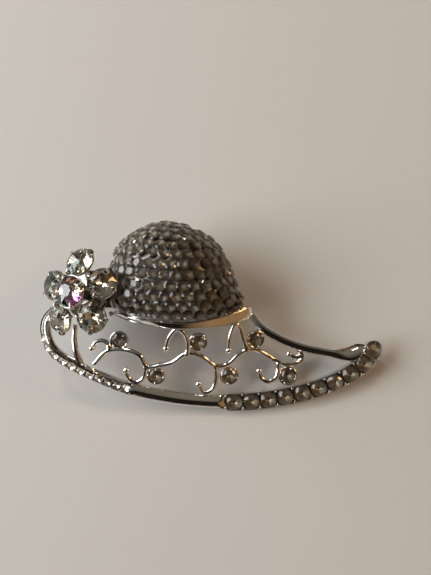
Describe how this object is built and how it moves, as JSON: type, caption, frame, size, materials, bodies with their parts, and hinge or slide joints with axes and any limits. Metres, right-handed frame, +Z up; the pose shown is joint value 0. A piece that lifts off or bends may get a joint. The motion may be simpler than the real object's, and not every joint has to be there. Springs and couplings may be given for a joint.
{
  "type": "hair clip",
  "caption": "Hat-shaped ornament with a stone-set crown, openwork brim and stone flower, on a sprung hair clip.",
  "frame": {"origin": "centre of the bounding box at its bottom, on the surface that the clip lies on, resting on the front rim, the end of the lever and the bow of the lower jaw", "axes": "+X to the right of the hat as seen from its face, +Y towards the top of the hat, +Z up, out of its face"},
  "size_m": [0.0594, 0.0328, 0.0171],
  "materials": {
    "silver": "bright polished silver plating",
    "steel": "plated spring steel, satin",
    "crystal": "clear faceted glass with a foiled back",
    "aurora": "clear faceted glass with an iridescent coating"
  },
  "bodies": {
    "ornament": {"front_rim": "silver", "rim_stones_left": "crystal", "rim_stones_right": "crystal", "back_rim": "silver", "flower_stem": "silver", "brim_cup_1": "silver", "brim_stone_1": "crystal", "brim_cup_2": "silver", "brim_stone_2": "crystal", "brim_cup_3": "silver", "brim_stone_3": "crystal", "brim_cup_4": "silver", "brim_stone_4": "crystal", "brim_cup_5": "silver", "brim_stone_5": "crystal", "brim_cup_6": "silver", "brim_stone_6": "crystal", "filigree_vine": "silver", "start_curl": "silver", "left_curl": "silver", "left_hook": "silver", "middle_curl": "silver", "right_hook": "silver", "right_curl": "silver", "end_bud": "silver", "crown_shell": "silver", "crown_back_plate": "silver", "crown_stone_row_1": "crystal", "crown_stone_row_2": "crystal", "crown_stone_row_3": "crystal", "crown_stone_row_4": "crystal", "crown_stone_row_5": "crystal", "crown_stone_row_6": "crystal", "crown_stone_row_7": "crystal", "crown_stone_row_8": "crystal", "crown_stone_row_9": "crystal", "crown_stone_row_10": "crystal", "hat_band": "silver", "band_bead": "silver", "flower_hub": "silver", "petal_cup_1": "silver", "petal_stone_1": "crystal", "petal_cup_2": "silver", "petal_stone_2": "crystal", "petal_cup_3": "silver", "petal_stone_3": "crystal", "petal_cup_4": "silver", "petal_stone_4": "crystal", "petal_cup_5": "silver", "petal_stone_5": "crystal", "centre_cup": "silver", "centre_stone": "aurora", "flower_post": "silver", "clip_upper_jaw": "steel", "hinge_pin": "steel", "torsion_spring": "steel"},
    "lower_jaw": {"clip_lower_jaw": "steel"}
  },
  "joints": [
    {"name": "jaw_hinge", "type": "hinge", "parent": "ornament", "child": "lower_jaw", "pos_m": [-0.01492, 0.00525, 0.00261], "axis": [0.0071, 0.9966, 0.082], "range_deg": [0, 25], "stiffness_Nm_per_rad": 0.01, "springref_deg": -17.19, "deforming": ["torsion_spring"]}
  ]
}
